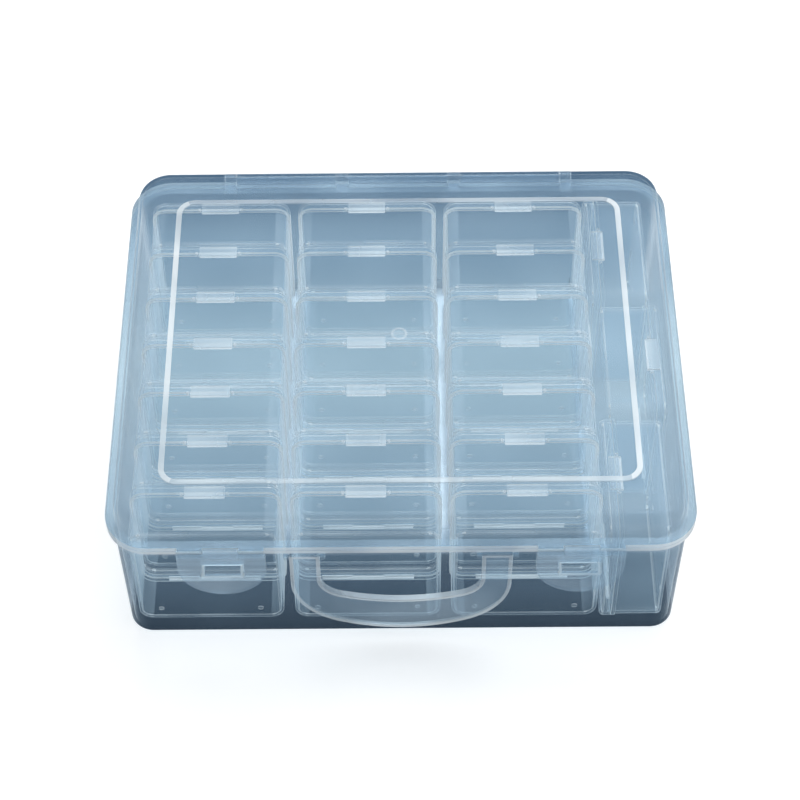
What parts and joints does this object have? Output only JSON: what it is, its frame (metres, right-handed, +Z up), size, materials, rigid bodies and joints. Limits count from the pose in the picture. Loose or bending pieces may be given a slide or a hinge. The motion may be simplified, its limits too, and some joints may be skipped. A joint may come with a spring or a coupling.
{
  "type": "bead organizer case",
  "caption": "Clear latched carrying case with a hinged lid and a drop handle, filled with upright lidded boxes for beads and small craft parts.",
  "frame": {"origin": "middle of the case's flat underside", "axes": "+X to the right, along the case's width, with the front towards -Y; +Y to the hinge at the rear; +Z up"},
  "size_m": [0.24, 0.2132, 0.0819],
  "materials": {
    "case_shell": "clear gloss",
    "case_cover": "clear gloss",
    "latch": "clear satin",
    "handle": "clear satin",
    "box_base": "clear gloss",
    "box_lid": "clear gloss"
  },
  "bodies": {
    "case": {"case_base": "case_shell"},
    "lid": {"case_lid": "case_cover"},
    "latch_left": {"latch_left": "latch"},
    "latch_right": {"latch_right": "latch"},
    "handle": {"carry_handle": "handle"},
    "box_01": {"box_base_01": "box_base", "box_lid_01": "box_lid"},
    "box_02": {"box_base_02": "box_base", "box_lid_02": "box_lid"},
    "box_03": {"box_base_03": "box_base", "box_lid_03": "box_lid"},
    "box_04": {"box_base_04": "box_base", "box_lid_04": "box_lid"},
    "box_05": {"box_base_05": "box_base", "box_lid_05": "box_lid"},
    "box_06": {"box_base_06": "box_base", "box_lid_06": "box_lid"},
    "box_07": {"box_base_07": "box_base", "box_lid_07": "box_lid"},
    "box_08": {"box_base_08": "box_base", "box_lid_08": "box_lid"},
    "box_09": {"box_base_09": "box_base", "box_lid_09": "box_lid"},
    "box_10": {"box_base_10": "box_base", "box_lid_10": "box_lid"},
    "box_11": {"box_base_11": "box_base", "box_lid_11": "box_lid"},
    "box_12": {"box_base_12": "box_base", "box_lid_12": "box_lid"},
    "box_13": {"box_base_13": "box_base", "box_lid_13": "box_lid"},
    "box_14": {"box_base_14": "box_base", "box_lid_14": "box_lid"},
    "box_15": {"box_base_15": "box_base", "box_lid_15": "box_lid"},
    "box_16": {"box_base_16": "box_base", "box_lid_16": "box_lid"},
    "box_17": {"box_base_17": "box_base", "box_lid_17": "box_lid"},
    "box_18": {"box_base_18": "box_base", "box_lid_18": "box_lid"},
    "box_19": {"box_base_19": "box_base", "box_lid_19": "box_lid"},
    "box_20": {"box_base_20": "box_base", "box_lid_20": "box_lid"},
    "box_21": {"box_base_21": "box_base", "box_lid_21": "box_lid"},
    "box_22": {"box_base_22": "box_base", "box_lid_22": "box_lid"},
    "box_23": {"box_base_23": "box_base", "box_lid_23": "box_lid"},
    "box_24": {"box_base_24": "box_base", "box_lid_24": "box_lid"}
  },
  "joints": [
    {"name": "lid_hinge", "type": "hinge", "parent": "case", "child": "lid", "pos_m": [0, 0.10427, 0.0673], "axis": [-1, 0, 0], "range_deg": [0, 110]},
    {"name": "latch_left_hinge", "type": "hinge", "parent": "lid", "child": "latch_left", "pos_m": [-0.07247, -0.10372, 0.0684], "axis": [-1, 0, 0], "range_deg": [0, 120]},
    {"name": "latch_right_hinge", "type": "hinge", "parent": "lid", "child": "latch_right", "pos_m": [0.07247, -0.10372, 0.0684], "axis": [-1, 0, 0], "range_deg": [0, 120]},
    {"name": "handle_hinge", "type": "hinge", "parent": "case", "child": "handle", "pos_m": [0, -0.09942, 0.062], "axis": [-1, 0, 0], "range_deg": [0, 125]},
    {"name": "box_01_lift", "type": "slide", "parent": "case", "child": "box_01", "axis": [0, 0, 1], "range_m": [0, 0.068]},
    {"name": "box_02_lift", "type": "slide", "parent": "case", "child": "box_02", "axis": [0, 0, 1], "range_m": [0, 0.068]},
    {"name": "box_03_lift", "type": "slide", "parent": "case", "child": "box_03", "axis": [0, 0, 1], "range_m": [0, 0.068]},
    {"name": "box_04_lift", "type": "slide", "parent": "case", "child": "box_04", "axis": [0, 0, 1], "range_m": [0, 0.068]},
    {"name": "box_05_lift", "type": "slide", "parent": "case", "child": "box_05", "axis": [0, 0, 1], "range_m": [0, 0.068]},
    {"name": "box_06_lift", "type": "slide", "parent": "case", "child": "box_06", "axis": [0, 0, 1], "range_m": [0, 0.068]},
    {"name": "box_07_lift", "type": "slide", "parent": "case", "child": "box_07", "axis": [0, 0, 1], "range_m": [0, 0.068]},
    {"name": "box_08_lift", "type": "slide", "parent": "case", "child": "box_08", "axis": [0, 0, 1], "range_m": [0, 0.068]},
    {"name": "box_09_lift", "type": "slide", "parent": "case", "child": "box_09", "axis": [0, 0, 1], "range_m": [0, 0.068]},
    {"name": "box_10_lift", "type": "slide", "parent": "case", "child": "box_10", "axis": [0, 0, 1], "range_m": [0, 0.068]},
    {"name": "box_11_lift", "type": "slide", "parent": "case", "child": "box_11", "axis": [0, 0, 1], "range_m": [0, 0.068]},
    {"name": "box_12_lift", "type": "slide", "parent": "case", "child": "box_12", "axis": [0, 0, 1], "range_m": [0, 0.068]},
    {"name": "box_13_lift", "type": "slide", "parent": "case", "child": "box_13", "axis": [0, 0, 1], "range_m": [0, 0.068]},
    {"name": "box_14_lift", "type": "slide", "parent": "case", "child": "box_14", "axis": [0, 0, 1], "range_m": [0, 0.068]},
    {"name": "box_15_lift", "type": "slide", "parent": "case", "child": "box_15", "axis": [0, 0, 1], "range_m": [0, 0.068]},
    {"name": "box_16_lift", "type": "slide", "parent": "case", "child": "box_16", "axis": [0, 0, 1], "range_m": [0, 0.068]},
    {"name": "box_17_lift", "type": "slide", "parent": "case", "child": "box_17", "axis": [0, 0, 1], "range_m": [0, 0.068]},
    {"name": "box_18_lift", "type": "slide", "parent": "case", "child": "box_18", "axis": [0, 0, 1], "range_m": [0, 0.068]},
    {"name": "box_19_lift", "type": "slide", "parent": "case", "child": "box_19", "axis": [0, 0, 1], "range_m": [0, 0.068]},
    {"name": "box_20_lift", "type": "slide", "parent": "case", "child": "box_20", "axis": [0, 0, 1], "range_m": [0, 0.068]},
    {"name": "box_21_lift", "type": "slide", "parent": "case", "child": "box_21", "axis": [0, 0, 1], "range_m": [0, 0.068]},
    {"name": "box_22_lift", "type": "slide", "parent": "case", "child": "box_22", "axis": [0, 0, 1], "range_m": [0, 0.068]},
    {"name": "box_23_lift", "type": "slide", "parent": "case", "child": "box_23", "axis": [0, 0, 1], "range_m": [0, 0.068]},
    {"name": "box_24_lift", "type": "slide", "parent": "case", "child": "box_24", "axis": [0, 0, 1], "range_m": [0, 0.068]}
  ],
  "couplings": [
    {"joint": "box_01_lift", "follows": "lid_hinge", "m_per_rad": 0.035},
    {"joint": "box_02_lift", "follows": "lid_hinge", "m_per_rad": 0.035},
    {"joint": "box_03_lift", "follows": "lid_hinge", "m_per_rad": 0.035},
    {"joint": "box_04_lift", "follows": "lid_hinge", "m_per_rad": 0.035},
    {"joint": "box_05_lift", "follows": "lid_hinge", "m_per_rad": 0.035},
    {"joint": "box_06_lift", "follows": "lid_hinge", "m_per_rad": 0.035},
    {"joint": "box_07_lift", "follows": "lid_hinge", "m_per_rad": 0.035},
    {"joint": "box_08_lift", "follows": "lid_hinge", "m_per_rad": 0.035},
    {"joint": "box_09_lift", "follows": "lid_hinge", "m_per_rad": 0.035},
    {"joint": "box_10_lift", "follows": "lid_hinge", "m_per_rad": 0.035},
    {"joint": "box_11_lift", "follows": "lid_hinge", "m_per_rad": 0.035},
    {"joint": "box_12_lift", "follows": "lid_hinge", "m_per_rad": 0.035},
    {"joint": "box_13_lift", "follows": "lid_hinge", "m_per_rad": 0.035},
    {"joint": "box_14_lift", "follows": "lid_hinge", "m_per_rad": 0.035},
    {"joint": "box_15_lift", "follows": "lid_hinge", "m_per_rad": 0.035},
    {"joint": "box_16_lift", "follows": "lid_hinge", "m_per_rad": 0.035},
    {"joint": "box_17_lift", "follows": "lid_hinge", "m_per_rad": 0.035},
    {"joint": "box_18_lift", "follows": "lid_hinge", "m_per_rad": 0.035},
    {"joint": "box_19_lift", "follows": "lid_hinge", "m_per_rad": 0.035},
    {"joint": "box_20_lift", "follows": "lid_hinge", "m_per_rad": 0.035},
    {"joint": "box_21_lift", "follows": "lid_hinge", "m_per_rad": 0.035},
    {"joint": "box_22_lift", "follows": "lid_hinge", "m_per_rad": 0.035},
    {"joint": "box_23_lift", "follows": "lid_hinge", "m_per_rad": 0.035},
    {"joint": "box_24_lift", "follows": "lid_hinge", "m_per_rad": 0.035}
  ]
}
